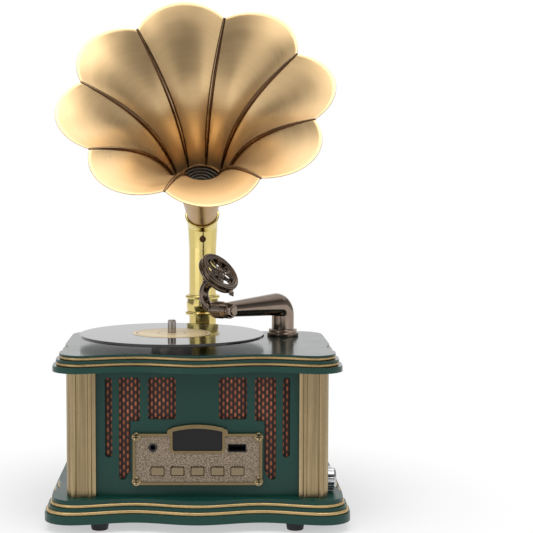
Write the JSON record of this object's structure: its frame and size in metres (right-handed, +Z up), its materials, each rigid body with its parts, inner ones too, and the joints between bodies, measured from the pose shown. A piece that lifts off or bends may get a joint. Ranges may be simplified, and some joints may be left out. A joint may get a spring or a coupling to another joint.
{
  "type": "gramophone-style radio speaker",
  "caption": "Retro gramophone-style radio speaker: green waved cabinet, brass flower horn on a column, tone arm and spinning record.",
  "frame": {"origin": "on the table, under the middle of the object's bounding box", "axes": "+Z up; the control plate faces -Y; +X is to the right of someone facing the front"},
  "size_m": [0.223, 0.233, 0.3978],
  "materials": {
    "cabinet_green": "painted, semi-gloss",
    "bead_gold": "gold, polished",
    "antique_trim": "antique brass colour, brushed",
    "plate_metal": "bronze colour, stippled",
    "screw_brass": "satin",
    "cloth": "woven, black with copper threads",
    "bare_wood": "bare",
    "black_plastic": "satin",
    "steel": "satin",
    "dark_lens": "glossy",
    "circuit_board": "satin",
    "battery_wrap": "satin",
    "foot_rubber": "matte",
    "record_black": "mirror-glossy",
    "label_paper": "satin",
    "gunmetal": "polished, dark",
    "column_brass": "polished",
    "bracket_black": "satin, dark",
    "horn_gold": "brushed round the axis",
    "seam_brown": "antiqued",
    "throat_black": "satin",
    "knob_chrome": "polished"
  },
  "bodies": {
    "cabinet": {"plinth": "cabinet_green", "plinth_beads": "bead_gold", "side_panel_left": "cabinet_green", "side_panel_right": "cabinet_green", "front_panel": "cabinet_green", "rear_panel": "cabinet_green", "pilaster_left": "antique_trim", "pilaster_right": "antique_trim", "rear_posts": "antique_trim", "top_board": "cabinet_green", "board_beads": "bead_gold", "grille_cloth": "cloth", "speaker_baffle": "bare_wood", "speaker_left": "black_plastic", "speaker_right": "black_plastic", "speaker_screws": "steel", "control_plate": "plate_metal", "plate_screws": "screw_brass", "display_lens": "dark_lens", "display_module": "black_plastic", "button_board": "circuit_board", "usb_port": "steel", "aux_jack": "steel", "main_board": "circuit_board", "battery_pack": "battery_wrap", "rear_screws": "steel", "power_switch": "black_plastic", "charge_port": "black_plastic", "feet": "foot_rubber", "foot_screws": "steel", "platter_bearing": "column_brass", "platter_motor": "steel", "arm_base": "gunmetal", "horn_bracket": "bracket_black", "horn_column": "column_brass", "horn_sleeve": "column_brass", "sleeve_screw": "column_brass", "horn_neck": "horn_gold", "throat_insert": "throat_black", "horn_petals_upper": "horn_gold", "horn_petals_lower": "horn_gold", "horn_seams": "seam_brown", "knob_encoder": "steel"},
    "turntable": {"record": "record_black", "record_label": "label_paper", "spindle": "gunmetal"},
    "arm": {"tone_arm": "gunmetal"},
    "head": {"gooseneck": "gunmetal", "gooseneck_nut": "gunmetal", "sound_box": "gunmetal", "sound_box_cover": "gunmetal", "needle": "gunmetal"},
    "button_1_body": {"button_1": "plate_metal"},
    "button_2_body": {"button_2": "plate_metal"},
    "button_3_body": {"button_3": "plate_metal"},
    "button_4_body": {"button_4": "plate_metal"},
    "button_5_body": {"button_5": "plate_metal"},
    "knob": {"volume_knob": "knob_chrome", "knob_shaft": "steel"},
    "slider": {"power_slider": "black_plastic"}
  },
  "joints": [
    {"name": "record_spin", "type": "hinge", "parent": "cabinet", "child": "turntable", "pos_m": [-0.0197, -0.0325, 0.1352], "axis": [0, 0, 1], "continuous": true},
    {"name": "arm_swing", "type": "hinge", "parent": "cabinet", "child": "arm", "pos_m": [0.0686, 0.0135, 0.1535], "axis": [0, 0, 1], "range_deg": [-8, 40]},
    {"name": "head_flip", "type": "hinge", "parent": "arm", "child": "head", "pos_m": [0.01893, -0.03793, 0.1535], "axis": [0.788, -0.6157, 0], "range_deg": [0, 85]},
    {"name": "button_1_press", "type": "slide", "parent": "cabinet", "child": "button_1_body", "axis": [0, 1, 0], "range_m": [0, 0.0008], "stiffness_N_per_m": 800},
    {"name": "button_2_press", "type": "slide", "parent": "cabinet", "child": "button_2_body", "axis": [0, 1, 0], "range_m": [0, 0.0008], "stiffness_N_per_m": 800},
    {"name": "button_3_press", "type": "slide", "parent": "cabinet", "child": "button_3_body", "axis": [0, 1, 0], "range_m": [0, 0.0008], "stiffness_N_per_m": 800},
    {"name": "button_4_press", "type": "slide", "parent": "cabinet", "child": "button_4_body", "axis": [0, 1, 0], "range_m": [0, 0.0008], "stiffness_N_per_m": 800},
    {"name": "button_5_press", "type": "slide", "parent": "cabinet", "child": "button_5_body", "axis": [0, 1, 0], "range_m": [0, 0.0008], "stiffness_N_per_m": 800},
    {"name": "volume_turn", "type": "hinge", "parent": "cabinet", "child": "knob", "pos_m": [0.0943, -0.0775, 0.0325], "axis": [1, 0, 0], "range_deg": [-140, 140]},
    {"name": "power_slide", "type": "slide", "parent": "cabinet", "child": "slider", "axis": [1, 0, 0], "range_m": [0, 0.004]}
  ]
}
